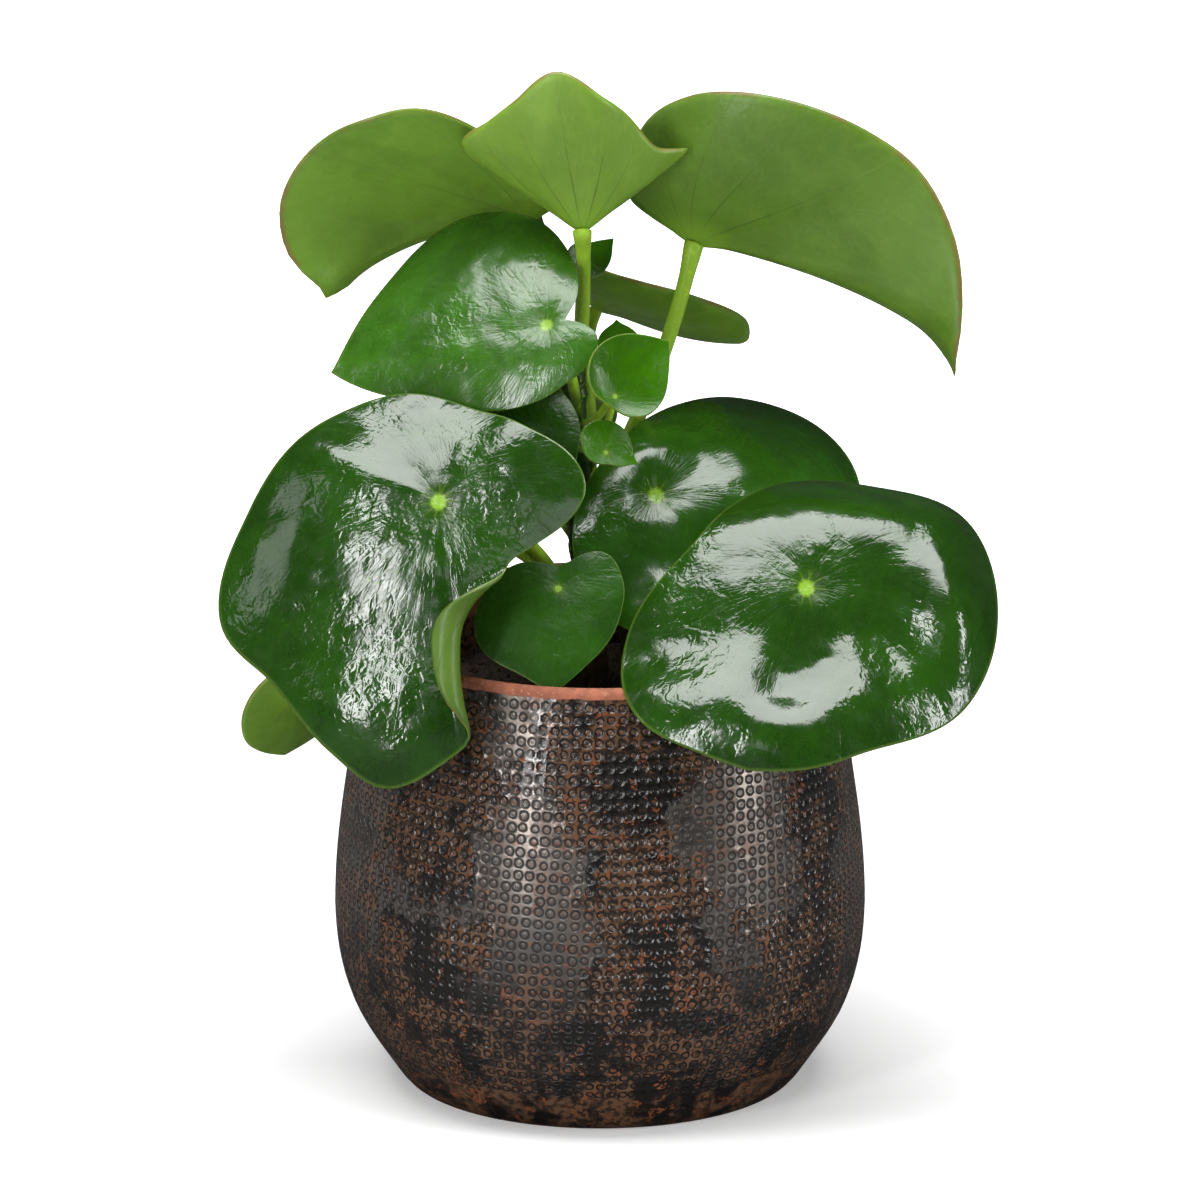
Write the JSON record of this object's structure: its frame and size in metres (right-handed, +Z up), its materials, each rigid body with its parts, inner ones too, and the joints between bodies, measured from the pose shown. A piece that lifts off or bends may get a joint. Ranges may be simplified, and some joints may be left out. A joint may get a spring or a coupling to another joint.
{
  "type": "potted peperomia",
  "caption": "Potted peperomia with fleshy round leaves on branching stems in a rounded, glazed clay pot with stamped dots, filled with soil",
  "frame": {"origin": "middle of the pot's flat underside, where it stands on the floor", "axes": "+Z up along the pot's axis, -Y towards the front of the plant, where the two large leaves hang over the rim, +X to the right as seen from the front"},
  "size_m": [0.2613, 0.2223, 0.358],
  "materials": {
    "pot": "dark metallic brown and black glaze over rust red clay, semi-gloss, bare clay at the lip",
    "soil": "loose dark brown potting soil, matte",
    "stem": "smooth fleshy yellow-green to dark green stems and petioles, satin",
    "leaf": "fleshy dark green leaf, waxy gloss above, paler and satin below",
    "young_leaf": "young bright yellow-green leaf, waxy gloss"
  },
  "bodies": {
    "root": {"pot": "pot", "soil": "soil", "stem_main": "stem", "stem_left": "stem", "stem_right": "stem", "leaf_top_left": "leaf", "leaf_top_centre": "young_leaf", "leaf_top_right": "leaf", "leaf_upper_left": "leaf", "leaf_upper_back": "leaf", "leaf_large_left": "leaf", "leaf_large_right": "leaf", "leaf_middle_right": "leaf", "leaf_low_front": "leaf", "leaf_inner_left": "leaf", "leaf_young_centre": "young_leaf", "leaf_young_small": "young_leaf", "leaf_sprout_top": "young_leaf", "leaf_sprout_inner": "young_leaf", "leaf_low_left": "leaf", "leaf_back_left": "leaf", "leaf_back_right": "leaf", "leaf_low_back": "leaf", "leaf_low_back_left": "leaf"}
  },
  "joints": []
}
